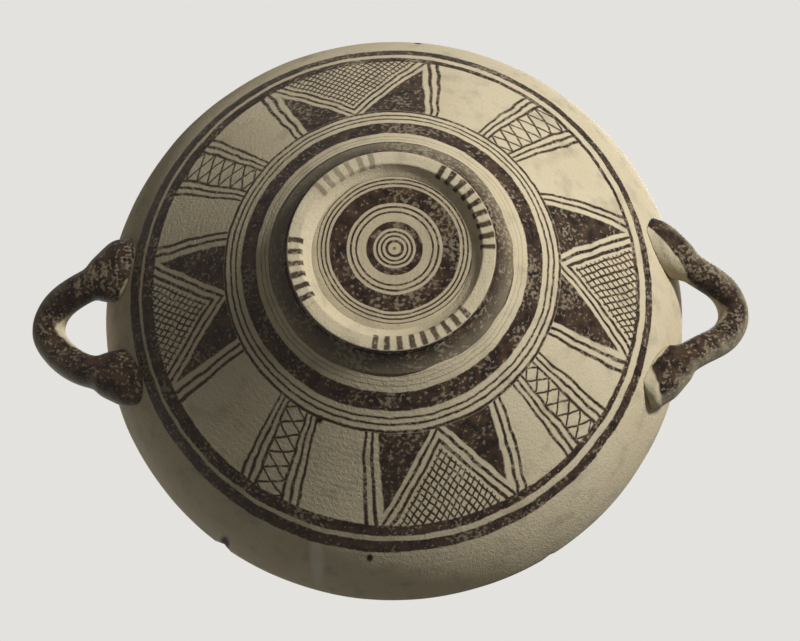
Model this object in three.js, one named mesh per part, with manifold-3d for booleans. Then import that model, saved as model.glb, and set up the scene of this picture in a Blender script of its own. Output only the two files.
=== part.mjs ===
// Two-handled bowl of fired clay on a ring foot, in millimetres, +Z up.
// The bowl stands on its foot. The origin is on the bowl's axis, in the plane that it stands on,
// and the handles lie along X. Every piece is a piece of clay that the potter joined to the next.
import * as THREE from 'three';
import { mergeVertices } from 'three/addons/utils/BufferGeometryUtils.js';
import Module from 'manifold-3d';

const wasm = await Module();
wasm.setup();

// Driving dimensions of the thrown bowl
const bowlHeight = 97;
const rimRadius = 140.5;
const wallThickness = 6;
const floorThickness = 7.5;
const shoulderRadius = 113;
const shoulderHeight = 53.5;
const innerFloorRounding = 20;

// Driving dimensions of the foot and of the shallow recess inside it
const footOuterRadius = 45.2;
const standingWidth = 6.5;
const footEdgeRound = 1.1;
const footFlare = 1.3;
const recessDepth = 4.5;
const recessSlopeWidth = 4.2;
const recessToeThickness = 0.5;
const bellyRadiusAtFoot = 51;
const bellyHeightAtFoot = 8.8;

// Driving dimensions of the clay wiped into the corner outside the foot
const footLutingLength = 3;
const footLutingStart = 2.6;
const footLutingEdge = 0.5;
const footLutingHollow = 0.6;

// Driving dimensions that both handles share
const handleRootHeight = 70;
const handleRise = 19;
const riseBend = 1.5;
const rootDepth = 12;
const lutingThickness = 2.8;
const lutingEdge = 2;
const lutingTowardsRim = 1.2;
const lutingLength = 13;

// Each handle's middle line. The heading is where it points, from the X axis. Reach and out are
// distances from the wall, and front and back are how far each arm stands from the middle. The
// smear is how far the wet clay of each join spreads along the wall beside the rod.
const handles = {
  right: {
    heading: 3,
    rodDiameter: 14,
    reach: 35.3,
    nose: { out: 30.3, front: 10.3, back: 11.2 },
    bow: { out: 12.7, front: 18.3, back: 23.6 },
    root: { front: 33, back: 40 },
    smear: { front: 5, back: 6 },
  },
  left: {
    heading: 177,
    rodDiameter: 15,
    reach: 38.4,
    nose: { out: 33.6, front: 9.6, back: 10.5 },
    bow: { out: 18, front: 16.6, back: 24.1 },
    root: { front: 24, back: 31 },
    smear: { front: 9, back: 7 },
  },
};

// Clearance that touching pieces keep, and the fineness of round shapes
const jointGap = 0.3;
const turningSegments = 64;
const rodSides = 14;
const rodSteps = 34;
const wallArcSteps = 8;
const lipSteps = 6;
const curveSteps = 4;
const edgeSteps = 2;

const degrees = THREE.MathUtils.degToRad;

function point(radius, height) {
  return new THREE.Vector2(radius, height);
}

// The points of a curve from a to b that bends towards a corner
function bend(a, corner, b, steps = curveSteps) {
  return new THREE.QuadraticBezierCurve(a, corner, b).getPoints(steps);
}

function arc(centre, radius, fromAngle, toAngle, steps) {
  const points = [];
  for (let i = 0; i <= steps; i += 1) {
    const angle = fromAngle + ((toAngle - fromAngle) * i) / steps;
    points.push(point(centre.x + radius * Math.cos(angle), centre.y + radius * Math.sin(angle)));
  }
  return points;
}

// Turned pieces
const footInnerRadius = footOuterRadius - standingWidth;
const recessRadius = footInnerRadius - recessSlopeWidth;
const bellyFoot = point(bellyRadiusAtFoot, bellyHeightAtFoot);
const shoulder = point(shoulderRadius, shoulderHeight);
const bellyAngle = shoulder.clone().sub(bellyFoot).angle();
const intoWall = point(-Math.sin(bellyAngle), Math.cos(bellyAngle));

// The wall above the shoulder is one arc. Its middle line leaves the shoulder in line with the
// belly and ends in the centre of the round lip.
const lipRadius = wallThickness / 2;
const lipCentre = point(rimRadius - lipRadius, bowlHeight - lipRadius);
const midShoulder = shoulder.clone().addScaledVector(intoWall, lipRadius);
const toLip = lipCentre.clone().sub(midShoulder);
const wallArcRadius = toLip.lengthSq() / (2 * toLip.dot(intoWall));
const wallArcCentre = midShoulder.clone().addScaledVector(intoWall, wallArcRadius);
const shoulderAngle = bellyAngle - Math.PI / 2;
const lipAngle = Math.atan2(lipCentre.y - wallArcCentre.y, lipCentre.x - wallArcCentre.x);

// The outside of the clay from the axis to the lip, moved outwards by a clearance
function outsideProfile(clearance) {
  const sole = recessDepth - clearance;
  const belly = intoWall.clone().multiplyScalar(-clearance);
  const arcRadius = wallArcRadius + lipRadius + clearance;
  return [
    point(0, sole),
    point(recessRadius, sole),
    bellyFoot.clone().add(belly),
    ...arc(wallArcCentre, arcRadius, shoulderAngle, lipAngle, wallArcSteps),
  ];
}

// The height of the clay's underside at a radius under the foot
function soleHeight(radius) {
  const share = (radius - recessRadius) / (bellyRadiusAtFoot - recessRadius);
  return recessDepth + share * (bellyHeightAtFoot - recessDepth);
}

// The height of the belly's outside at a radius between the foot and the shoulder
function bellyHeight(radius) {
  return bellyHeightAtFoot + (radius - bellyRadiusAtFoot) * Math.tan(bellyAngle);
}

// The radius of the outside of the wall at a height above the shoulder
function wallRadius(height) {
  const arcRadius = wallArcRadius + lipRadius;
  const rise = height - wallArcCentre.y;
  return wallArcCentre.x + Math.sqrt(arcRadius ** 2 - rise ** 2);
}

function turned(profile) {
  return new THREE.LatheGeometry(profile, turningSegments).rotateX(Math.PI / 2);
}

// A turned piece whose section stands clear of the axis, so its outline closes on itself
function turnedRing(section) {
  return turned([...section, section[0]]);
}

function bowlBody() {
  const floorTop = recessDepth + floorThickness;
  const innerShoulder = shoulder.clone().addScaledVector(intoWall, wallThickness);
  const floorCorner = point(innerShoulder.x - (innerShoulder.y - floorTop) / Math.tan(bellyAngle), floorTop);
  const floorEdge = point(floorCorner.x - innerFloorRounding, floorTop);
  const bellyEdge = point(
    floorCorner.x + innerFloorRounding * Math.cos(bellyAngle),
    floorTop + innerFloorRounding * Math.sin(bellyAngle),
  );
  const innerArc = arc(wallArcCentre, wallArcRadius - lipRadius, lipAngle, shoulderAngle, wallArcSteps);
  const lip = arc(lipCentre, lipRadius, lipAngle, lipAngle + Math.PI, lipSteps).slice(1, -1);
  return turned([
    ...outsideProfile(0),
    ...lip,
    ...innerArc,
    ...bend(bellyEdge, floorCorner, floorEdge),
    point(0, floorTop),
  ]);
}

// A solid of the whole bowl, filled to its mouth and grown by a clearance, for cutting its
// neighbours back from the wall
function filledBowl(clearance) {
  const top = bowlHeight + rodLargest;
  return turned([...outsideProfile(clearance), point(rimRadius + clearance, top), point(0, top)]);
}

// The radius of the foot's outside, which flares from the standing plane to the belly
function footOutside(height) {
  return footOuterRadius + (footFlare * height) / bellyHeightAtFoot;
}

function footRing() {
  const toe = soleHeight(recessRadius) - jointGap;
  const heel = soleHeight(footOuterRadius + footFlare) - jointGap;
  const round = footEdgeRound;
  return turnedRing([
    ...bend(
      point(footInnerRadius - round, round),
      point(footInnerRadius, 0),
      point(footInnerRadius + round, 0),
      edgeSteps,
    ),
    ...bend(
      point(footOuterRadius - round, 0),
      point(footOuterRadius, 0),
      point(footOutside(round), round),
      edgeSteps,
    ),
    point(footOutside(heel), heel),
    point(recessRadius, toe),
    ...bend(
      point(recessRadius, toe - recessToeThickness),
      point(footInnerRadius - round, toe - recessToeThickness),
      point(footInnerRadius - round, round),
    ).slice(0, -1),
  ]);
}

// The section fills the corner between the foot's outside and the belly, and its open side is
// hollowed towards that corner
function footLuting() {
  const clear = 2 * jointGap;
  const cornerRadius = footOuterRadius + footFlare + clear;
  const corner = point(cornerRadius, soleHeight(cornerRadius) - clear);
  const start = point(footOutside(footLutingStart) + clear, footLutingStart);
  const outerRadius = bellyRadiusAtFoot + footLutingLength;
  const end = point(outerRadius, bellyHeight(outerRadius) - clear);
  const openStart = point(start.x + footLutingEdge, start.y);
  const openEnd = point(end.x, end.y - footLutingEdge);
  const hollow = openStart.clone().lerp(openEnd, 0.5).lerp(corner, footLutingHollow);
  return turnedRing([
    start,
    ...bend(openStart, hollow, openEnd),
    end,
    point(bellyRadiusAtFoot, bellyHeightAtFoot - clear),
    corner,
  ]);
}

// Handles
const rodLargest = Math.max(handles.left.rodDiameter, handles.right.rodDiameter);

// The middle line of a handle's rod, from its front root inside the wall, round the loop and
// back into the wall. It leaves the wall level and bends up towards the rim.
function handlePath(handle) {
  const { heading, reach, nose, bow, root } = handle;
  const up = new THREE.Vector3(0, 0, 1);
  const outwards = new THREE.Vector3(1, 0, 0).applyAxisAngle(up, degrees(heading));
  const backwards = new THREE.Vector3(0, Math.sign(outwards.x), 0).applyAxisAngle(up, degrees(heading));
  const wall = wallRadius(handleRootHeight);
  const spot = (out, back) => new THREE.Vector3(0, 0, handleRootHeight)
    .addScaledVector(outwards, wall + out)
    .addScaledVector(backwards, back)
    .addScaledVector(up, handleRise * (Math.max(out, 0) / reach) ** riseBend);
  return new THREE.CatmullRomCurve3([
    spot(-rootDepth, -root.front),
    spot(bow.out, -bow.front),
    spot(nose.out, -nose.front),
    spot(reach, 0),
    spot(nose.out, nose.back),
    spot(bow.out, bow.back),
    spot(-rootDepth, root.back),
  ]);
}

function rod(handle, clearance) {
  const radius = handle.rodDiameter / 2 + clearance;
  const round = new THREE.EllipseCurve(0, 0, radius, radius).getPoints(rodSides).slice(0, rodSides);
  return new THREE.ExtrudeGeometry(new THREE.Shape(round), {
    steps: rodSteps,
    extrudePath: handlePath(handle),
  });
}

// The share of a handle's path at which its front arm leaves the wall
function leavesWall(path) {
  const finest = rodSteps * rodSteps;
  const points = path.getSpacedPoints(finest);
  const first = points.findIndex(({ x, y, z }) => Math.hypot(x, y) > wallRadius(z));
  return first / finest;
}

// A sleeve of clay round an arm's root, thickest towards the rim, where the arm and the wall
// close up, and spread sideways along the wall. The blank runs into the wall, and is cut back
// to it afterwards.
function lutingBlank(handle, atFront) {
  const frontToBack = handlePath(handle);
  const path = atFront
    ? frontToBack
    : new THREE.CatmullRomCurve3([...frontToBack.points].reverse());
  const where = leavesWall(path);
  const rodRadius = handle.rodDiameter / 2;
  const sleeve = new THREE.LatheGeometry([
    point(0, -rootDepth),
    point(rodRadius + lutingThickness, -rootDepth),
    point(rodRadius + lutingThickness, 0),
    point(rodRadius + lutingEdge, lutingLength),
    point(0, lutingLength),
  ], 2 * rodSides);
  const smear = atFront ? handle.smear.front : handle.smear.back;
  const spread = (smear - lutingThickness) / (rodRadius + lutingThickness);
  const corners = sleeve.attributes.position;
  for (let i = 0; i < corners.count; i += 1) {
    const nearWall = THREE.MathUtils.clamp(1 - corners.getY(i) / lutingLength, 0, 1);
    corners.setX(i, corners.getX(i) * (1 + spread * nearWall));
  }
  const outwards = path.getTangentAt(where);
  const sideways = new THREE.Vector3(0, 0, 1).cross(outwards).normalize();
  const turn = new THREE.Matrix4().makeBasis(sideways, outwards, sideways.clone().cross(outwards));
  const centre = path.getPointAt(where).add(new THREE.Vector3(0, 0, lutingTowardsRim));
  return sleeve.applyMatrix4(turn.setPosition(centre));
}

// Solids, for cutting one piece back from another
function solid(geometry) {
  const bare = geometry.index ? geometry.clone() : geometry;
  bare.deleteAttribute('normal');
  bare.deleteAttribute('uv');
  const merged = mergeVertices(bare, 1e-3);
  const corners = Array.from(merged.index.array);
  const whole = corners.filter((_, i) => {
    const [a, b, c] = corners.slice(i - (i % 3), i - (i % 3) + 3);
    return a !== b && b !== c && c !== a;
  });
  return new wasm.Manifold(new wasm.Mesh({
    numProp: 3,
    vertProperties: Float32Array.from(merged.attributes.position.array),
    triVerts: Uint32Array.from(whole),
  }));
}

function geometryOf(shape) {
  const mesh = shape.getMesh();
  const geometry = new THREE.BufferGeometry();
  geometry.setAttribute('position', new THREE.BufferAttribute(Float32Array.from(mesh.vertProperties), 3));
  geometry.setIndex(Array.from(mesh.triVerts));
  return geometry;
}

function largestPart(shape) {
  return shape.decompose().reduce((a, b) => (a.volume() > b.volume() ? a : b));
}

const bowlCutter = solid(filledBowl(jointGap));

function handleRod(handle) {
  return geometryOf(largestPart(solid(rod(handle, 0)).subtract(bowlCutter)));
}

function handleLuting(handle, atFront) {
  const sleeve = solid(lutingBlank(handle, atFront)).subtract(solid(rod(handle, jointGap)));
  return geometryOf(largestPart(sleeve.subtract(bowlCutter)));
}

// Finishes
const slippedClay = { color: 0xcdbf9f, roughness: 0.78, metalness: 0 };
const paintedClay = { color: 0x4a3527, roughness: 0.72, metalness: 0 };

const bowl = new THREE.Group();

function place(name, geometry, finish) {
  const mesh = new THREE.Mesh(geometry, new THREE.MeshStandardMaterial(finish));
  mesh.name = name;
  bowl.add(mesh);
}

place('bowl_body', bowlBody(), slippedClay);
place('foot_ring', footRing(), slippedClay);
place('foot_luting', footLuting(), paintedClay);
for (const [side, handle] of Object.entries(handles)) {
  place(`handle_${side}`, handleRod(handle), paintedClay);
  place(`luting_${side}_front`, handleLuting(handle, true), paintedClay);
  place(`luting_${side}_back`, handleLuting(handle, false), paintedClay);
}

export default bowl;
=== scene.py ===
"""A wide clay bowl with two loop handles, seen from below: thrown, slipped and painted by hand."""
import math
from functools import partial, reduce

import bmesh
import bpy
from mathutils import Matrix, Vector


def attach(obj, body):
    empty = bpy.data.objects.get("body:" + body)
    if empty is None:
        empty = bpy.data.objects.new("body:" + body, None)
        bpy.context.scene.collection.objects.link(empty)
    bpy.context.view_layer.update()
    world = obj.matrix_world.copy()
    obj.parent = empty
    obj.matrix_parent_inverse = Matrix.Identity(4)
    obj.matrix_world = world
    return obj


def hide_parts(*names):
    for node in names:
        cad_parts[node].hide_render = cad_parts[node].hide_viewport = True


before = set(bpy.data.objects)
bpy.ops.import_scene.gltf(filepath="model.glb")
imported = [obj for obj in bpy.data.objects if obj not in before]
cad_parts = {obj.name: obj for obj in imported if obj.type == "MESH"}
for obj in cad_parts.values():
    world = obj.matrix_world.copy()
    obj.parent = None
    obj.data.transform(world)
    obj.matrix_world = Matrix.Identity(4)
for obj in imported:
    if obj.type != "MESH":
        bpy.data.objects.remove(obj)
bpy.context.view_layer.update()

MM = 0.001
MATH = "ShaderNodeMath"
VECTOR = "ShaderNodeVectorMath"

# Radii and heights of the bowl, in millimetres, from its axis and from the plane that it stands on
BOWL_HEIGHT = 97.0
WALL = 6.0
FLOOR_TOP = 12.0
FLOOR_BEND = 7.0
SOLE = 4.5
RECESS_RADIUS = 34.5
BELLY_FOOT = (51.0, 8.8)
SHOULDER = (113.0, 53.5)
WALL_ARC_CENTRE = (70.8, 111.9)
WALL_ARC_RADIUS = 72.1
LIP_CENTRE = (137.5, 94.0)
LIP_RADIUS = 3.0
FOOT_OUTER, FOOT_INNER, FOOT_FLARE, FOOT_EDGE = 45.2, 38.7, 1.3, 1.1
# How deep the inner edge of the foot reaches into the sole
BURIED = 0.8
# The length over which the wobble of hand work comes and goes, in millimetres
WOBBLE_LENGTH = 45.0
# Handles, in millimetres: how far their skin grows to close up to the wall, the size of a remeshed face,
# and up to what height above the wall the smeared clay is thinned. Then how often they are rubbed smooth
HANDLE_GROWTH = 0.65
HANDLE_FACE = 0.75
FEATHER = 4.8
HANDLE_RUBBING = 110
# Chips on the lip: turn from the right handle, radius and depth
CHIPS = [(-126.0, 4.5, 1.3), (47.0, 5.0, 1.2), (41.5, 3.2, 1.0), (83.0, 2.4, 0.5), (-60.0, 3.0, 0.6)]

# How soft the edge of a brush stroke is, in millimetres
EDGE, FINE_EDGE, BROAD_EDGE = 0.45, 0.35, 0.6
# Painted circles on the outside, by the radius of their two edges
FRIEZE_INNER, FRIEZE_OUTER = 74.9, 112.9
THIN_RINGS = [(73.7, 75.4), (71.0, 72.4), (68.6, 69.9)]
DARK_BAND = (59.2, 66.8)
FADING_RINGS = [(56.7, 57.5), (54.9, 55.6), (53.2, 53.8)]
BASE_BAND = (0.0, 51.6)
# The two lines on the wall: the radius of each edge on the right, and how far it moves out on the left
WALL_LINES = [((117.0, 0.8), (121.0, 2.2)), ((112.2, -1.6), (114.4, 2.4))]
LEFT_TURN = 195.0
# How dark the fading rings are on the right, and how much darker on the left
FADED = (0.4, 0.45)
# Rings inside the foot, and how far their middle is off the axis
RECESS_RINGS = [
    (0.0, 0.8), (2.6, 4.2), (5.0, 6.2), (6.9, 8.2), (9.0, 12.4),
    (16.0, 17.2), (18.3, 19.6), (20.6, 28.5), (29.3, 30.4), (31.1, 32.2), (33.1, 33.9),
]
RECESS_SHIFT = (1.4, -1.8, 0.0)
# The lip, two bands and a few rings inside the bowl, which the photograph doesn't show
INSIDE_BANDS = [(133.6, 160.0), (112.0, 119.0), (108.2, 109.4), (40.0, 46.0), (36.5, 37.5), (0.0, 5.0)]

# Hatched triangles, from the right handle towards the front. In degrees: the turn of the point, half of
# the base, where the dark field ends at the inner and the outer border on the low side, the same on the
# high side, and how far the base leans. Last, how far across the frieze the point lies.
TRIANGLES = [
    (0.0, 13.0, -21.0, -19.0, 22.0, 11.5, -4.5, 0.1),
    (101.5, 17.5, -24.5, -19.5, 18.5, 17.5, -1.5, 0.1),
    (188.5, 13.0, -18.5, -14.5, 16.0, 16.0, 0.5, 0.17),
    (284.0, 14.0, -20.0, -17.0, 19.0, 12.5, -2.0, 0.13),
]
# Outwards from a side of the triangle, in millimetres: the hatching, two chevrons and the dark field
HATCH = {"pitch": 3.5, "width": 1.5, "soft": 0.4}
HATCH_STOP = -1.9
CHEVRONS = [(-1.1, 1.1), (2.9, 4.9)]
FIELD_START = 6.5
FAR = 400.0
# Two strokes that close each dark field, in degrees past its end
CLOSING_STROKES = [(1.2, 2.5), (3.4, 4.7)]
# Ladders, in degrees: the middle at the outer and at the inner border, and half the width
LADDERS = [(46.0, 49.0, 9.0), (147.0, 145.5, 8.8), (239.0, 236.0, 8.0), (320.0, 320.5, 7.5)]
# Strokes along a ladder, in degrees from its edge inwards, and the room that they take
SIDE_STROKES = [(0.0, 1.15), (1.9, 3.05), (3.8, 4.95)]
SIDE_ROOM = 4.4
# Crossed strokes between them: spans up the ladder, the slant of a stroke, and its measures in spans
SPANS = 3.0
SLANT = 0.25
CROSSED = {"pitch": 0.5, "width": 0.12, "soft": 0.04}
# Groups of strokes on the foot: first and last turn, and how dark. Then a stroke's measures, in degrees
DASHES = [(-2.0, 62.0, 0.95), (98.0, 140.0, 0.5), (168.0, 215.0, 0.95), (255.0, 320.0, 0.9)]
DASH = {"pitch": 7.2, "width": 4.3, "soft": 0.9}

# Small dark marks on the slip: place on plan and radius. Then the middle of a pale drip, and half its size
SPOTS = [(15, -132, 1.7), (-13, 124, 1.3), (-33, 68, 1.5), (-81, 113, 2.2)]
DRIP = (-37.0, 123.0)
DRIP_HALF = (3.0, 9.0)
# Where the brush ran up the handle roots, on the left handle and on the right one: the middle of the front
# stroke across the handle, and half of a stroke. Then the middle of the back stroke on both, the wall's
# radius at which a stroke has that half, and how fast it widens outwards
ROOT_FRONT = (-19.0, -30.0)
STROKE_HALF = (18.0, 9.5)
ROOT_BACK = 39.0
ROOT_WALL = 130.0
STROKE_SPREAD = 1.6
# Grain of the finish, in millimetres: blotches, stains and pits of the slip, then flakes, worn patches and
# thin patches of the paint
BLOTCH, STAIN, PIT = 32.0, 11.0, 0.7
FLAKE, WORN_PATCH, THIN_PATCH = 1.7, 17.0, 5.0
# Throwing lines, as a wave over the radius
RIDGES = 2.4

SLIP = "beb49b"
SLIP_WARM = "b3a485"
SLIP_GREY = "998e78"
PAINT = "1d1511"
PAINT_THIN = "46362a"
GRIT = "76664f"
# The slip in the recess of the foot is darkened to a grey, as painted shade of the hollow
RECESS_SHADED_SLIP = "9f947e"
DRIP_PALE = "d8d0bd"
FLOOR_PALE = "d9d6d0"
SURROUNDINGS = "e4e2de"

# The camera in the bowl's axes, in millimetres, fitted to the ellipses in the photograph
CAMERA_PLACE = (3.8, 198.7, -611.5)
CAMERA_RIGHT = (0.9997, 0.0219, 0.0073)
CAMERA_UP = (0.0230, -0.9644, -0.2633)
LENS = 67.5
SENSOR = 36.0
# Lamps: direction, distance and width in metres, and power in watts. The directions below the bowl are in
# the camera's axes, so that the light falls as in the photograph, and those above it in the bowl's.
LAMPS_BELOW = [("key", (0.95, 0.75, 0.75), 1.5, 0.22, 29.0), ("fill", (0.2, -0.1, 1.0), 1.8, 1.5, 2.5)]
LAMPS_ABOVE = [("top_key", (0.6, -0.7, 1.2), 1.6, 0.6, 20.0), ("top_fill", (-0.8, 0.3, 0.9), 1.8, 1.2, 8.0)]
# How strongly the surroundings light the bowl. Where they are seen, their strength is 1
AMBIENT = 0.13
# The floor, in metres: half its side, and from where to where it fades into the surroundings
FLOOR_HALF = 3.0
FLOOR_FADE = (0.25, 1.3)


def linear(code):
    """The linear colour of an sRGB hex code."""
    parts = [int(code[i : i + 2], 16) / 255 for i in (0, 2, 4)]
    return tuple(c / 12.92 if c <= 0.04045 else ((c + 0.055) / 1.055) ** 2.4 for c in parts) + (1.0,)


def add(tree, kind, *inputs, named=None, **settings):
    """Adds a node with its settings and links, and returns it."""
    node = tree.nodes.new(kind)
    for name, value in settings.items():
        setattr(node, name, value)
    wanted = {i: value for i, value in enumerate(inputs) if value is not None}
    wanted.update(named or {})
    for key, value in wanted.items():
        if isinstance(value, bpy.types.Node):
            value = value.outputs[0]
        if isinstance(value, bpy.types.NodeSocket):
            tree.links.new(value, node.inputs[key])
        else:
            node.inputs[key].default_value = value
    return node


def strongest(put, masks):
    """The greatest of several masks. Each is joined as soon as it is made, which keeps few open."""
    return reduce(lambda a, b: put(MATH, a, b, operation="MAXIMUM"), masks)


def stripe(put, value, low, high, soft):
    """1 where value lies from low to high, with edges as wide as soft."""
    above = put(MATH, value, low, operation="SUBTRACT")
    below = put(MATH, high, value, operation="SUBTRACT")
    rise = put(MATH, above, soft, operation="DIVIDE", use_clamp=True)
    fall = put(MATH, below, soft, operation="DIVIDE", use_clamp=True)
    return put(MATH, rise, fall, operation="MULTIPLY")


def lines(put, value, pitch, width, soft):
    """Lines of that width, a pitch apart."""
    place = put(MATH, value, pitch / 2, -pitch / 2, operation="WRAP")
    return stripe(put, place, -width / 2, width / 2, soft)


def cloud(put, place, grain, detail=3.0):
    """Soft noise from 0 to 1, with blotches of that many millimetres."""
    return put("ShaderNodeTexNoise", place, named={"Scale": 1 / grain, "Detail": detail})


def spot(put, place, centre, radius, soft):
    """1 within that radius of a point on plan, and 0 past its soft rim."""
    flat = put(VECTOR, place, (1.0, 1.0, 0.0), operation="MULTIPLY")
    far = put(VECTOR, flat, centre, operation="DISTANCE").outputs["Value"]
    rim = (radius, radius + soft, 1.0, 0.0)
    return put("ShaderNodeMapRange", far, *rim, interpolation_type="SMOOTHSTEP")


def polar(put, shift):
    """The place in millimetres, then the radius and the turn from the right handle round a shifted axis."""
    place = put("ShaderNodeTexCoord").outputs["Object"]
    place = put(VECTOR, place, (1000.0, 1000.0, 1000.0), operation="MULTIPLY")
    moved = put(VECTOR, place, shift, operation="SUBTRACT")
    flat = put(VECTOR, moved, (1.0, 1.0, 0.0), operation="MULTIPLY")
    radius = put(VECTOR, flat, operation="LENGTH").outputs["Value"]
    parts = put("ShaderNodeSeparateXYZ", moved)
    front = put(MATH, parts.outputs["Y"], -1.0, operation="MULTIPLY")
    turn = put(MATH, front, parts.outputs["X"], operation="ARCTAN2")
    return place, radius, put(MATH, turn, operation="DEGREES")


def shaken(put, value, place, grain, reach):
    """value with the unsteadiness of a hand-held brush."""
    drift = put(MATH, cloud(put, place, grain), 0.5, operation="SUBTRACT")
    return put(MATH, drift, reach, value, operation="MULTIPLY_ADD")


def wrapped(put, turn, middle):
    """The turn from a middle, from -180 to 180 degrees."""
    return put(MATH, put(MATH, turn, middle, operation="SUBTRACT"), 180.0, -180.0, operation="WRAP")


def picked(put, turn, ends, rows):
    """Of rows of three sizes, the one for the part of the frieze that a turn falls in."""
    chosen = (0.0, 0.0, 0.0)
    for (low, high), row in zip(ends, rows):
        away = put(MATH, wrapped(put, turn, (low + high) / 2), operation="ABSOLUTE")
        here = put(MATH, away, (high - low) / 2, operation="LESS_THAN")
        chosen = put(VECTOR, here, row, chosen, operation="MULTIPLY_ADD")
    return put("ShaderNodeSeparateXYZ", chosen).outputs


def between(put, share, inner, outer):
    """A turn that slides from inner to outer across the frieze."""
    return put(MATH, share, put(MATH, outer, inner, operation="SUBTRACT"), inner, operation="MULTIPLY_ADD")


def frieze_triangle(put, radius, turn, share):
    """A hatched triangle with its point to the foot, two chevrons and a dark field each side."""
    ends = [(before[0], after[0]) for before, after in zip([LADDERS[-1]] + LADDERS[:-1], LADDERS)]
    ends[0] = (ends[0][0] - 360.0, ends[0][1])
    middle, half_base, low_inner = picked(put, turn, ends, [row[:3] for row in TRIANGLES])
    low_outer, high_inner, high_outer = picked(put, turn, ends, [row[3:6] for row in TRIANGLES])
    lean, start = picked(put, turn, ends, [row[6:] + (0.0,) for row in TRIANGLES])[:2]
    offset = wrapped(put, turn, middle)
    leaning = put(MATH, offset, put(MATH, lean, share, operation="MULTIPLY"), operation="SUBTRACT")
    across = put(MATH, put(MATH, leaning, operation="RADIANS"), radius, operation="MULTIPLY")
    base = put(MATH, put(MATH, half_base, operation="RADIANS"), FRIEZE_OUTER, operation="MULTIPLY")
    grown = put(MATH, share, start, operation="SUBTRACT")
    whole = put(MATH, 1.0, start, operation="SUBTRACT")
    reach = put(MATH, put(MATH, grown, whole, operation="DIVIDE"), base, operation="MULTIPLY")
    outside = put(MATH, put(MATH, across, operation="ABSOLUTE"), reach, operation="SUBTRACT")
    slants = [put(MATH, across, reach, operation=way) for way in ("SUBTRACT", "ADD")]
    hatch = strongest(put, [lines(put, slant, **HATCH) for slant in slants])
    yield put(MATH, hatch, stripe(put, outside, -FAR, HATCH_STOP, EDGE), operation="MULTIPLY")
    for low, high in CHEVRONS:
        yield stripe(put, outside, low, high, EDGE)
    low = between(put, share, low_inner, low_outer)
    high = between(put, share, high_inner, high_outer)
    beside = stripe(put, outside, FIELD_START, FAR, BROAD_EDGE)
    yield put(MATH, beside, stripe(put, offset, low, high, EDGE), operation="MULTIPLY")
    past_high = put(MATH, offset, high, operation="SUBTRACT")
    past_low = put(MATH, low, offset, operation="SUBTRACT")
    for past in (past_high, past_low):
        for first, last in CLOSING_STROKES:
            yield stripe(put, past, first, last, FINE_EDGE)


def frieze_ladder(put, turn, share):
    """Three strokes each side, with crossed strokes between them."""
    ends = [(before[0], after[0]) for before, after in zip(TRIANGLES, TRIANGLES[1:] + TRIANGLES[:1])]
    ends[-1] = (ends[-1][0], ends[-1][1] + 360.0)
    outer, inner, half = picked(put, turn, ends, LADDERS)
    offset = wrapped(put, turn, between(put, share, inner, outer))
    away = put(MATH, offset, operation="ABSOLUTE")
    inwards = put(MATH, half, away, operation="SUBTRACT")
    for first, last in SIDE_STROKES:
        yield stripe(put, inwards, first, last, FINE_EDGE)
    room = put(MATH, half, SIDE_ROOM, operation="SUBTRACT")
    slant = put(MATH, put(MATH, offset, room, operation="DIVIDE"), SLANT, operation="MULTIPLY")
    rung = put(MATH, share, SPANS, operation="MULTIPLY")
    slopes = [put(MATH, rung, slant, operation=way) for way in ("ADD", "SUBTRACT")]
    crossed = strongest(put, [lines(put, slope, **CROSSED) for slope in slopes])
    within = stripe(put, away, -1.0, put(MATH, room, 0.6, operation="ADD"), FINE_EDGE)
    yield put(MATH, crossed, within, operation="MULTIPLY")


def outside_paint(put, place, radius, turn):
    """Everything painted on the outside of the bowl, as one mask."""
    radius = shaken(put, radius, place, grain=14.0, reach=1.6)
    radius = shaken(put, radius, place, grain=2.5, reach=0.7)
    turn = shaken(put, turn, place, grain=11.0, reach=1.8)
    over = put(MATH, radius, FRIEZE_INNER, operation="SUBTRACT")
    share = put(MATH, over, FRIEZE_OUTER - FRIEZE_INNER, operation="DIVIDE")
    from_left = put(MATH, put(MATH, turn, LEFT_TURN, operation="SUBTRACT"), operation="RADIANS")
    left = put(MATH, put(MATH, from_left, operation="COSINE"), 0.5, 0.5, operation="MULTIPLY_ADD")

    def panels():
        yield from frieze_triangle(put, radius, turn, share)
        yield from frieze_ladder(put, turn, share)

    def wall_lines():
        for edges in WALL_LINES:
            low, high = [put(MATH, left, out, at, operation="MULTIPLY_ADD") for at, out in edges]
            yield stripe(put, radius, low, high, EDGE)

    def rings(circles):
        for low, high in circles:
            yield stripe(put, radius, low, high, EDGE)

    field = stripe(put, radius, FRIEZE_INNER, FRIEZE_OUTER + 0.3, EDGE)
    frieze = put(MATH, strongest(put, panels()), field, operation="MULTIPLY")
    paint = put(MATH, strongest(put, wall_lines()), frieze, operation="MAXIMUM")
    faded = put(MATH, left, FADED[1], FADED[0], operation="MULTIPLY_ADD")
    thin = put(MATH, strongest(put, rings(FADING_RINGS)), faded, operation="MULTIPLY")
    paint = put(MATH, paint, thin, operation="MAXIMUM")
    full = strongest(put, rings(THIN_RINGS + [DARK_BAND, BASE_BAND]))
    return put(MATH, paint, full, operation="MAXIMUM")


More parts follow.
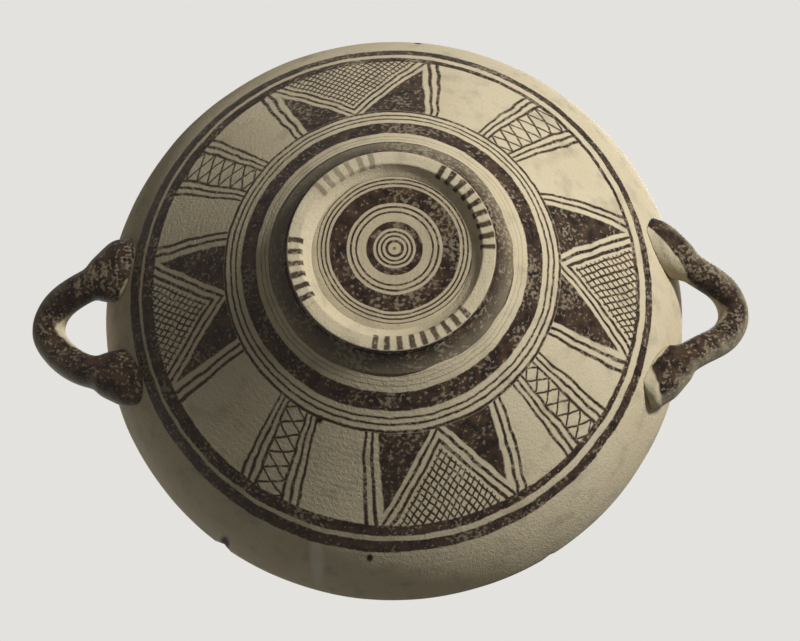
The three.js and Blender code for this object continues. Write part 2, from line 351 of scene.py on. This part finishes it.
def surface(name, paint_mask, shift=(0.0, 0.0, 0.0), worn=0.34, slip=SLIP):
    """Earthenware in a matt slip, painted where paint_mask says, with pits, wear and throwing lines."""
    material = bpy.data.materials.new(name)
    material.use_nodes = True
    tree = material.node_tree
    tree.nodes.clear()
    put = partial(add, tree)
    place, radius, turn = polar(put, shift)
    mask = paint_mask(put, place, radius, turn)

    # A Map Range node is given the range that it reads and then the range that it gives.
    # The slip is brushed on unevenly, and the clay below shows through it in places.
    flakes = cloud(put, place, FLAKE, 4.0)
    grit = cloud(put, place, PIT, 2.0)
    tone = put("ShaderNodeMixRGB", cloud(put, place, BLOTCH, 5.0), linear(slip), linear(SLIP_WARM))
    stain = put("ShaderNodeMapRange", cloud(put, place, STAIN, 6.0), 0.52, 0.75, 0.0, 0.75)
    tone = put("ShaderNodeMixRGB", stain, tone, linear(SLIP_GREY))
    pitted = put("ShaderNodeMapRange", grit, 0.62, 0.74, 0.0, 0.55)
    tone = put("ShaderNodeMixRGB", pitted, tone, linear(GRIT))
    marks = strongest(put, (spot(put, place, (x, y, 0.0), size * 0.6, size) for x, y, size in SPOTS))
    tone = put("ShaderNodeMixRGB", marks, tone, linear(PAINT))
    (x, y), (half_x, half_y) = DRIP, DRIP_HALF
    shrunk = (1 / half_x, 1 / half_y, 1.0)
    drip = put("ShaderNodeMapping", place, (-x / half_x, -y / half_y, 0.0), None, shrunk)
    streak = put(MATH, spot(put, drip, (0.0, 0.0, 0.0), 0.5, 1.0), 0.6, operation="MULTIPLY")
    tone = put("ShaderNodeMixRGB", streak, tone, linear(DRIP_PALE))

    # The paint is thin and has flaked, so that it looks mottled, and more so in patches.
    patch = put("ShaderNodeMapRange", cloud(put, place, WORN_PATCH, 4.0), 0.42, 0.68, 0.0, 0.16)
    level = put(MATH, flakes, patch, operation="ADD")
    flaked = put("ShaderNodeMapRange", level, 0.60, 0.70, 0.0, worn)
    cover = put(MATH, mask, put(MATH, 1.0, flaked, operation="SUBTRACT"), operation="MULTIPLY")
    thin = put("ShaderNodeMapRange", cloud(put, place, THIN_PATCH, 5.0), 0.38, 0.66, 0.0, 0.85)
    dark = put("ShaderNodeMixRGB", thin, linear(PAINT), linear(PAINT_THIN))
    colour = put("ShaderNodeMixRGB", cover, tone, dark)
    rough = put("ShaderNodeMapRange", cover, 0.0, 1.0, 0.82, 0.56)

    # The relief is grit, flakes and faint throwing lines. The painted mask stays out, to keep it light.
    ridges = put(MATH, put(MATH, radius, RIDGES, operation="MULTIPLY"), operation="SINE")
    relief = put(MATH, flakes, 1.2, grit, operation="MULTIPLY_ADD")
    relief = put(MATH, ridges, 0.07, relief, operation="MULTIPLY_ADD")
    bump = put("ShaderNodeBump", named={"Height": relief, "Distance": 0.35 * MM, "Strength": 0.65})
    look = {"Base Color": colour, "Roughness": rough, "Normal": bump, "IOR": 1.48}
    shader = put("ShaderNodeBsdfPrincipled", named=look | {"Specular IOR Level": 0.2})
    put("ShaderNodeOutputMaterial", shader)
    return material


def recess_paint(put, place, radius, turn):
    """Fine rings painted inside the foot while the bowl turned."""
    radius = shaken(put, radius, place, grain=9.0, reach=0.9)
    return strongest(put, [stripe(put, radius, low, high, FINE_EDGE) for low, high in RECESS_RINGS])


def inside_paint(put, place, radius, turn):
    """Bands painted inside the bowl and over the lip."""
    radius = shaken(put, radius, place, grain=14.0, reach=1.2)
    return strongest(put, [stripe(put, radius, low, high, EDGE) for low, high in INSIDE_BANDS])


def foot_paint(put, place, radius, turn):
    """Dark on the outside of the foot, and groups of strokes across the ring it stands on."""
    turn = shaken(put, turn, place, grain=6.0, reach=2.4)
    groups = []
    for first, last, depth in DASHES:
        offset = wrapped(put, turn, (first + last) / 2)
        group = stripe(put, offset, (first - last) / 2, (last - first) / 2, 1.5)
        groups.append(put(MATH, group, depth, operation="MULTIPLY"))
    dashes = put(MATH, lines(put, turn, **DASH), strongest(put, groups), operation="MULTIPLY")
    standing = stripe(put, radius, FOOT_INNER - 0.8, FOOT_OUTER - 0.4, EDGE)
    dashes = put(MATH, dashes, standing, operation="MULTIPLY")
    return put(MATH, dashes, stripe(put, radius, FOOT_OUTER - 0.6, FAR, EDGE), operation="MAXIMUM")


def handle_paint(put, place, radius, turn):
    """Dark, and worn on the outer side. The side that faces the bowl is left in the slip."""
    facing = put("ShaderNodeTexCoord").outputs["Normal"]
    flat = put(VECTOR, place, (1.0, 1.0, 0.0), operation="MULTIPLY")
    outward = put(VECTOR, flat, operation="NORMALIZE")
    away = put(VECTOR, facing, outward, operation="DOT_PRODUCT").outputs["Value"]
    away = shaken(put, away, place, grain=5.0, reach=0.5)
    reserved = put("ShaderNodeMapRange", away, -0.6, -0.4, 0.1, 1.0)
    rubbed = put("ShaderNodeMapRange", away, 0.45, 0.95, 1.0, 0.5)
    brushed = put(MATH, reserved, rubbed, operation="MULTIPLY")

    # The smeared clay at the roots is dark only where the brush ran up it.
    x, y = put("ShaderNodeSeparateXYZ", place).outputs[:2]
    is_right = put(MATH, x, 0.0, operation="GREATER_THAN")
    front, half = [
        put(MATH, is_right, right - left, left, operation="MULTIPLY_ADD")
        for left, right in (ROOT_FRONT, STROKE_HALF)
    ]
    from_front = put(MATH, put(MATH, y, front, operation="SUBTRACT"), operation="ABSOLUTE")
    from_back = put(MATH, put(MATH, y, ROOT_BACK, operation="SUBTRACT"), operation="ABSOLUTE")
    beside = put(MATH, from_front, from_back, operation="MINIMUM")
    beside = shaken(put, beside, place, grain=3.0, reach=3.0)
    past_wall = put(MATH, radius, ROOT_WALL, operation="SUBTRACT")
    stroke = put(MATH, past_wall, STROKE_SPREAD, half, operation="MULTIPLY_ADD")
    return put(MATH, brushed, stripe(put, beside, -FAR, stroke, 1.5), operation="MULTIPLY")


def luting_paint(put, place, radius, turn):
    """A dark wash round the foot, thinner outwards."""
    outwards = shaken(put, radius, place, grain=4.0, reach=2.0)
    return put("ShaderNodeMapRange", outwards, FOOT_OUTER + 0.8, BELLY_FOOT[0] + 2.0, 1.0, 0.7)


def profile_height(radius):
    """The outside of the bowl over a radius, in millimetres."""
    if radius <= SHOULDER[0]:
        slope = (SHOULDER[1] - BELLY_FOOT[1]) / (SHOULDER[0] - BELLY_FOOT[0])
        return BELLY_FOOT[1] + (radius - BELLY_FOOT[0]) * slope
    over = min(radius - WALL_ARC_CENTRE[0], WALL_ARC_RADIUS)
    return WALL_ARC_CENTRE[1] - math.sqrt(WALL_ARC_RADIUS**2 - over**2)


def arc(centre, radius, start, end, steps):
    """Points on an arc, its angles in degrees."""
    turns = [math.radians(start + (end - start) * i / steps) for i in range(steps + 1)]
    return [(centre[0] + radius * math.cos(a), centre[1] + radius * math.sin(a)) for a in turns]


def straight(start, end, steps):
    """Points on a straight line, without its last one."""
    return [tuple(start[k] + (end[k] - start[k]) * i / steps for k in (0, 1)) for i in range(steps)]


def angle_from(centre, point):
    """The angle of a point seen from a centre, in degrees."""
    return math.degrees(math.atan2(point[1] - centre[1], point[0] - centre[0]))


def bowl_profile():
    """From the middle of the sole, out and up to the lip, and back down to the middle of the floor."""
    shoulder_turn = angle_from(WALL_ARC_CENTRE, SHOULDER)
    lip_turn = angle_from(WALL_ARC_CENTRE, LIP_CENTRE)
    slope = math.atan2(SHOULDER[1] - BELLY_FOOT[1], SHOULDER[0] - BELLY_FOOT[0])
    inner_shoulder = (SHOULDER[0] - WALL * math.sin(slope), SHOULDER[1] + WALL * math.cos(slope))
    floor_edge = inner_shoulder[0] - (inner_shoulder[1] - FLOOR_TOP) / math.tan(slope)
    rise = (floor_edge + FLOOR_BEND * math.cos(slope), FLOOR_TOP + FLOOR_BEND * math.sin(slope))
    points = straight((0.0, SOLE), (RECESS_RADIUS, SOLE), 22)
    points += straight((RECESS_RADIUS, SOLE), BELLY_FOOT, 8)
    points += straight(BELLY_FOOT, SHOULDER, 34)
    points += arc(WALL_ARC_CENTRE, WALL_ARC_RADIUS, shoulder_turn, lip_turn, 26)
    points += arc(LIP_CENTRE, LIP_RADIUS, lip_turn, lip_turn + 180.0, 10)[1:-1]
    points += arc(WALL_ARC_CENTRE, WALL_ARC_RADIUS - WALL, lip_turn, shoulder_turn, 22)
    points += straight(inner_shoulder, rise, 24)[1:]
    points += [rise]
    points += [(floor_edge + FLOOR_BEND * 0.35, FLOOR_TOP + FLOOR_BEND * 0.16)]
    points += [(floor_edge - FLOOR_BEND * 0.4, FLOOR_TOP)]
    points += straight((floor_edge - FLOOR_BEND, FLOOR_TOP), (0.0, FLOOR_TOP), 10) + [(0.0, FLOOR_TOP)]
    return points


def foot_profile():
    """The ring foot, its top buried in the sole."""
    points = straight((FOOT_OUTER + FOOT_FLARE, 8.0), (FOOT_OUTER, FOOT_EDGE), 5)
    points += arc((FOOT_OUTER - FOOT_EDGE, FOOT_EDGE), FOOT_EDGE, 0.0, -90.0, 5)
    points += straight((FOOT_OUTER - 2.4, 0.0), (FOOT_INNER + 2.4, 0.0), 4)
    points += arc((FOOT_INNER + FOOT_EDGE, FOOT_EDGE), FOOT_EDGE, -90.0, -160.0, 4)
    points += [(FOOT_INNER - 1.2, 2.5), (FOOT_INNER - 2.5, 3.5), (RECESS_RADIUS + 0.3, SOLE - 0.25)]
    points += [(RECESS_RADIUS - 0.4, SOLE + BURIED)]
    return points + [(FOOT_INNER + 2.0, 7.2), (FOOT_OUTER + FOOT_FLARE - 1.0, 9.4), points[0]]


def luting_profile():
    """The wiped corner between the foot and the belly."""
    start = (FOOT_OUTER + 0.75, 3.0)
    end = (BELLY_FOOT[0] + 2.6, profile_height(BELLY_FOOT[0] + 2.6) - 0.05)
    hollow = (FOOT_OUTER + 2.7, 5.9)
    steps = 8
    curve = []
    for i in range(steps + 1):
        t = i / steps
        shares = ((1 - t) ** 2, 2 * t * (1 - t), t * t)
        curve.append(tuple(sum(a * p[k] for a, p in zip(shares, (start, hollow, end))) for k in (0, 1)))
    buried = [(FOOT_OUTER - 0.6, 3.6), (FOOT_OUTER, 8.4), (BELLY_FOOT[0], 9.9)]
    return curve[::-1] + buried + [curve[-1]]


def turning_tree():
    """Geometry Nodes that turn a profile on the wheel, with the slight wobble of hand work."""
    tree = bpy.data.node_groups.new("turned_on_the_wheel", "GeometryNodeTree")
    kinds = {"Profile": "Geometry", "Rows": "Int", "Steps": "Int", "Wobble": "Float", "Finish": "Material"}
    for name, kind in kinds.items():
        tree.interface.new_socket(name, in_out="INPUT", socket_type="NodeSocket" + kind)
    tree.interface.new_socket("Piece", in_out="OUTPUT", socket_type="NodeSocketGeometry")
    put = partial(add, tree)
    given = put("NodeGroupInput").outputs
    columns = put(MATH, given["Steps"], 1.0, operation="ADD")
    grid = put("GeometryNodeMeshGrid", None, None, columns, given["Rows"])
    index = put("GeometryNodeInputIndex")
    row = put(MATH, index, given["Rows"], operation="MODULO")
    column = put(MATH, put(MATH, index, given["Rows"], operation="DIVIDE"), operation="FLOOR")
    turn = put(MATH, put(MATH, column, given["Steps"], operation="DIVIDE"), 2 * math.pi, operation="MULTIPLY")
    here = put("GeometryNodeInputPosition")
    point = put("GeometryNodeSampleIndex", given["Profile"], here, row, data_type="FLOAT_VECTOR")
    radius, _, height = put("ShaderNodeSeparateXYZ", point).outputs
    x = put(MATH, radius, put(MATH, turn, operation="COSINE"), operation="MULTIPLY")
    y = put(MATH, radius, put(MATH, turn, operation="SINE"), operation="MULTIPLY")
    place = put("ShaderNodeCombineXYZ", x, y, height)
    turned = put("GeometryNodeSetPosition", grid, None, place)
    closed = put("GeometryNodeMergeByDistance", turned, named={"Distance": 0.02 * MM})
    noise = put("ShaderNodeTexNoise", named={"Scale": 1 / (WOBBLE_LENGTH * MM), "Detail": 2.0})
    swell = put(MATH, put(MATH, noise, 0.5, operation="SUBTRACT"), given["Wobble"], operation="MULTIPLY")
    offset = put(VECTOR, put("GeometryNodeInputNormal"), named={"Scale": swell}, operation="SCALE")
    uneven = put("GeometryNodeSetPosition", closed, None, None, offset)
    smooth = put("GeometryNodeSetShadeSmooth", uneven)
    real = put("GeometryNodeRealizeInstances", smooth)
    put("NodeGroupOutput", put("GeometryNodeSetMaterial", real, None, given["Finish"]))
    return tree


def solid_piece(source, name, nodes):
    """The evaluated source as a plain closed mesh that stands for CAD nodes."""
    scene_graph = bpy.context.evaluated_depsgraph_get()
    mesh = bpy.data.meshes.new_from_object(source.evaluated_get(scene_graph))
    bpy.data.objects.remove(source)
    mesh.name = name
    shape = bmesh.new()
    shape.from_mesh(mesh)
    if shape.calc_volume(signed=True) < 0:
        bmesh.ops.reverse_faces(shape, faces=shape.faces)
    shape.to_mesh(mesh)
    shape.free()
    piece = bpy.data.objects.new(name, mesh)
    bpy.context.collection.objects.link(piece)
    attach(piece, "root")
    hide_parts(*nodes)
    return piece


def turned_piece(tree, name, profile, steps, wobble, finish, node):
    """A piece turned from a profile, in millimetres."""
    mesh = bpy.data.meshes.new(name + "_profile")
    edges = [(i, i + 1) for i in range(len(profile) - 1)]
    mesh.from_pydata([(r * MM, 0.0, z * MM) for r, z in profile], edges, [])
    source = bpy.data.objects.new(name + "_profile", mesh)
    bpy.context.collection.objects.link(source)
    modifier = source.modifiers.new("turning", "NODES")
    modifier.node_group = tree
    values = {"Rows": len(profile), "Steps": steps, "Wobble": wobble * MM, "Finish": finish}
    for item in tree.interface.items_tree:
        if item.name in values:
            modifier[item.identifier] = values[item.name]
    return solid_piece(source, name, [node])


def feather_into_wall(piece):
    """Thins the clay that lies low on the wall, so that each join runs out into it without a step."""
    for vertex in piece.data.vertices:
        x, y, z = vertex.co / MM
        radius = math.hypot(x, y)
        out = Vector((radius - WALL_ARC_CENTRE[0], z - WALL_ARC_CENTRE[1]))
        proud = out.length - WALL_ARC_RADIUS
        if 0 < proud < FEATHER:
            out = out.normalized() * (WALL_ARC_RADIUS + proud * proud / FEATHER)
            share = (WALL_ARC_CENTRE[0] + out.x) / radius
            vertex.co = Vector((x * share, y * share, WALL_ARC_CENTRE[1] + out.y)) * MM
    piece.data.update()


def modelled_handle(side, finish):
    """A loop handle and the clay smeared round its roots, closed up to the wall and rubbed smooth."""
    nodes = ["handle_" + side, "luting_" + side + "_front", "luting_" + side + "_back"]
    shape = bmesh.new()
    for node in nodes:
        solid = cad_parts[node]
        first = len(shape.verts)
        shape.from_mesh(solid.data)
        shape.verts.ensure_lookup_table()
        bmesh.ops.transform(shape, matrix=solid.matrix_world, verts=shape.verts[first:])
    bmesh.ops.remove_doubles(shape, verts=shape.verts, dist=0.01 * MM)
    bmesh.ops.recalc_face_normals(shape, faces=shape.faces)
    mesh = bpy.data.meshes.new(side + "_handle_source")
    shape.to_mesh(mesh)
    shape.free()
    source = bpy.data.objects.new(side + "_handle_source", mesh)
    bpy.context.collection.objects.link(source)
    grow = source.modifiers.new("grow", "DISPLACE")
    grow.strength = HANDLE_GROWTH * MM
    grow.mid_level = 0.0
    remesh = source.modifiers.new("remesh", "REMESH")
    remesh.mode = "VOXEL"
    remesh.voxel_size = HANDLE_FACE * MM
    remesh.use_smooth_shade = True
    rub = source.modifiers.new("rub", "SMOOTH")
    rub.factor = 0.5
    rub.iterations = HANDLE_RUBBING
    piece = solid_piece(source, side + "_handle", nodes)
    feather_into_wall(piece)
    piece.data.materials.clear()
    piece.data.materials.append(finish)
    for face in piece.data.polygons:
        face.material_index = 0


def dress_bowl(piece, *finishes):
    """Gives the outside, the inside and the recess of the foot their own finish, in that order."""
    outside, inside, recess = range(len(finishes))
    piece.data.materials.clear()
    for finish in finishes:
        piece.data.materials.append(finish)
    for face in piece.data.polygons:
        x, y, z = (c / MM for c in face.center)
        radius = math.hypot(x, y)
        skin = profile_height(radius) if radius > FOOT_OUTER else SOLE
        over_lip = radius > LIP_CENTRE[0] and z > LIP_CENTRE[1] - 1.0
        face.material_index = outside
        if radius < FOOT_OUTER and z < SOLE + 4.0:
            face.material_index = recess
        elif over_lip or z > skin + WALL * 0.5:
            face.material_index = inside


def chip_lip(piece):
    """Knocks the chips out of the lip, towards the middle of its round."""
    for turn, reach, depth in CHIPS:
        angle = math.radians(-turn)
        outward = Vector((math.cos(angle), math.sin(angle), 0.0))
        rim = outward * (LIP_CENTRE[0] + LIP_RADIUS * 0.7)
        centre = (rim + Vector((0.0, 0.0, LIP_CENTRE[1] - 0.5))) * MM
        middle = (outward * LIP_CENTRE[0] + Vector((0.0, 0.0, LIP_CENTRE[1]))) * MM
        for vertex in piece.data.vertices:
            far = (vertex.co - centre).length / (reach * MM)
            if far < 1:
                vertex.co += (middle - vertex.co).normalized() * depth * MM * (1 - far * far)
    piece.data.update()


def make_camera():
    """Below the bowl and towards its back, tilted by 15 degrees to its axis. Returns its three axes."""
    right = Vector(CAMERA_RIGHT).normalized()
    back = right.cross(Vector(CAMERA_UP)).normalized()
    up = back.cross(right)
    data = bpy.data.cameras.new("view")
    data.lens = LENS
    data.sensor_width = SENSOR
    camera = bpy.data.objects.new("view", data)
    turned = Matrix((right, up, back)).transposed().to_4x4()
    camera.matrix_world = Matrix.Translation(Vector(CAMERA_PLACE) * MM) @ turned
    bpy.context.collection.objects.link(camera)
    bpy.context.scene.camera = camera
    return right, up, back


def make_lamp(name, direction, distance, size, power, glares):
    """A square lamp that shines at the bowl from a direction. One that glares shows in gloss."""
    data = bpy.data.lights.new(name, "AREA")
    data.size = size
    data.energy = power
    lamp = bpy.data.objects.new(name, data)
    middle = Vector((0.0, 0.0, BOWL_HEIGHT * MM / 2))
    lamp.location = middle + direction.normalized() * distance
    lamp.rotation_euler = direction.to_track_quat("Z", "Y").to_euler()
    lamp.visible_glossy = glares
    bpy.context.collection.objects.link(lamp)


def make_lamps(*camera_axes):
    """A small key lamp and a faint fill below, as in the photograph, and softer light from above."""
    for name, shares, distance, size, power in LAMPS_BELOW:
        direction = sum((axis * share for axis, share in zip(camera_axes, shares)), Vector())
        make_lamp(name, direction, distance, size, power, glares=False)
    for name, direction, distance, size, power in LAMPS_ABOVE:
        make_lamp(name, Vector(direction), distance, size, power, glares=True)


def make_surroundings():
    """Pale all round to the eye and in gloss, and dimmer as light on the bowl."""
    world = bpy.data.worlds.new("surroundings")
    bpy.context.scene.world = world
    world.use_nodes = True
    world.node_tree.nodes.clear()
    put = partial(add, world.node_tree)
    path = put("ShaderNodeLightPath").outputs
    seen = strongest(put, [path["Is Camera Ray"], path["Is Glossy Ray"], path["Is Transmission Ray"]])
    strength = put("ShaderNodeMapRange", seen, 0.0, 1.0, AMBIENT, 1.0)
    put("ShaderNodeOutputWorld", put("ShaderNodeBackground", linear(SURROUNDINGS), strength))


def make_floor():
    """A pale floor that shows from above only, so that the foot stays in view and in the light below."""
    half = FLOOR_HALF
    corners = [(-half, -half, 0), (half, -half, 0), (half, half, 0), (-half, half, 0)]
    mesh = bpy.data.meshes.new("floor")
    mesh.from_pydata(corners, [], [(0, 1, 2, 3)])
    floor = bpy.data.objects.new("floor", mesh)
    bpy.context.collection.objects.link(floor)
    finish = bpy.data.materials.new("matt_pale_floor")
    finish.use_nodes = True
    finish.node_tree.nodes.clear()
    put = partial(add, finish.node_tree)
    camera_ray = put("ShaderNodeLightPath").outputs["Is Camera Ray"]
    above = put(MATH, 1.0, put("ShaderNodeNewGeometry").outputs["Backfacing"], operation="SUBTRACT")
    shown = put(MATH, camera_ray, above, operation="MULTIPLY")
    far = put(VECTOR, put("ShaderNodeTexCoord").outputs["Object"], operation="LENGTH").outputs["Value"]
    fade = put("ShaderNodeMapRange", far, *FLOOR_FADE, 0.0, 1.0, interpolation_type="SMOOTHSTEP")
    backdrop = put("ShaderNodeEmission", linear(SURROUNDINGS), 1.0)
    pale = put("ShaderNodeMixShader", fade, put("ShaderNodeBsdfDiffuse", linear(FLOOR_PALE)), backdrop)
    mixed = put("ShaderNodeMixShader", shown, put("ShaderNodeBsdfTransparent"), pale)
    put("ShaderNodeOutputMaterial", mixed)
    mesh.materials.append(finish)


bpy.context.scene.view_settings.view_transform = "Standard"
make_lamps(*make_camera())
make_surroundings()
make_floor()

# Earthenware under a pale slip that was brushed on by hand: matt and cream, with grey stains and fine pits.
# Its ornament is thin iron paint, which has flaked to a mottled dark brown and is a little less matt.
outside = surface("slipped_and_painted_clay", outside_paint)
# The same slip in the recess of the foot, made greyer as painted shade of the hollow, under rings painted on
# the wheel.
recess = surface("ringed_recess_clay_with_painted_shade", recess_paint, shift=RECESS_SHIFT, slip=RECESS_SHADED_SLIP)
# The same slip inside the bowl, plain but for a few painted bands.
inside = surface("slipped_inner_clay", inside_paint)
# Clay turned to a foot. It looks dark on the side, more worn than the wall, and pale where it stands.
foot_finish = surface("painted_foot_clay", foot_paint, worn=0.4)
# A rolled rod of clay, painted with a full brush. It looks dark, and grey where hands have rubbed it.
handle_finish = surface("brushed_handle_clay", handle_paint, worn=0.3)
# Wet clay wiped into the corner of the foot. It looks like a dark, uneven wash.
join_wash = surface("brushed_join_clay", luting_paint)

# Each turned piece is given its steps round the wheel and its wobble in millimetres.
wheel = turning_tree()
bowl = turned_piece(wheel, "thrown_bowl", bowl_profile(), 380, 0.9, outside, "bowl_body")
dress_bowl(bowl, outside, inside, recess)
chip_lip(bowl)
turned_piece(wheel, "turned_foot", foot_profile(), 300, 0.3, foot_finish, "foot_ring")
turned_piece(wheel, "wiped_foot_join", luting_profile(), 300, 0.3, join_wash, "foot_luting")
for side in ("right", "left"):
    modelled_handle(side, handle_finish)
